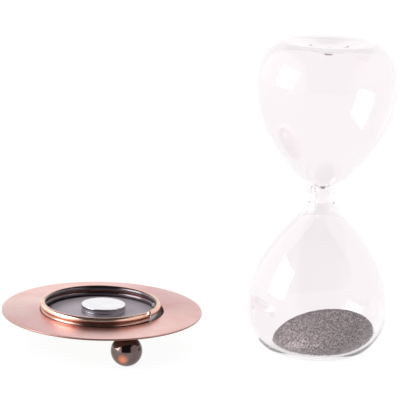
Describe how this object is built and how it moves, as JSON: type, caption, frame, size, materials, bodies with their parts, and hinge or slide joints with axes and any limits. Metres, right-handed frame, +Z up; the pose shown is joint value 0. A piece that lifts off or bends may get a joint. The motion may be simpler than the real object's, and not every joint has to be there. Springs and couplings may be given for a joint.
{
  "type": "magnetic hourglass",
  "caption": "Clear hourglass of iron filings beside a copper saucer on ball feet; turned over onto the saucer's ring, its disc magnets pull the falling filings into spikes.",
  "frame": {"origin": "on the desk, at the middle of the set's bounding box", "axes": "+Z up; +X from the saucer to the hourglass; the side that the front foot and the ring's open end face is towards -Y"},
  "size_m": [0.1754, 0.0912, 0.1416],
  "materials": {
    "satin_copper": "satin copper plating on sheet steel, spun in fine rings",
    "polished_copper": "polished antique copper plating on steel wire",
    "polished_gunmetal": "polished grey steel",
    "nickel": "bright nickel plating",
    "dark_bronze": "mirror-polished dark bronze plating on steel",
    "stud_steel": "plain steel",
    "clear_glass": "clear blown borosilicate glass",
    "iron_filings": "matt grey-brown grains"
  },
  "bodies": {
    "base": {"saucer_plate": "satin_copper", "seat_disc": "polished_gunmetal", "lower_magnet": "nickel", "upper_magnet": "nickel", "ball_foot_front": "dark_bronze", "ball_foot_left": "dark_bronze", "ball_foot_right": "dark_bronze", "foot_stud_front": "stud_steel", "foot_stud_left": "stud_steel", "foot_stud_right": "stud_steel"},
    "ring": {"split_ring": "polished_copper"},
    "hourglass": {"hourglass_glass": "clear_glass", "fill_hole_seal": "clear_glass"},
    "filings": {"iron_filings": "iron_filings"}
  },
  "joints": [
    {"name": "hourglass_turn", "type": "hinge", "parent": "base", "child": "hourglass", "pos_m": [0.00643, 0, 0.0789], "axis": [0, -1, 0], "range_deg": [0, 180]},
    {"name": "filings_run", "type": "slide", "parent": "hourglass", "child": "filings", "axis": [0, 0, 1], "range_m": [0, 0.024]},
    {"name": "ring_turn", "type": "hinge", "parent": "base", "child": "ring", "pos_m": [-0.0427, 0, 0.01346], "axis": [0, 0, 1], "continuous": true}
  ],
  "couplings": [
    {"joint": "filings_run", "follows": "hourglass_turn", "m_per_rad": 0.007639}
  ]
}
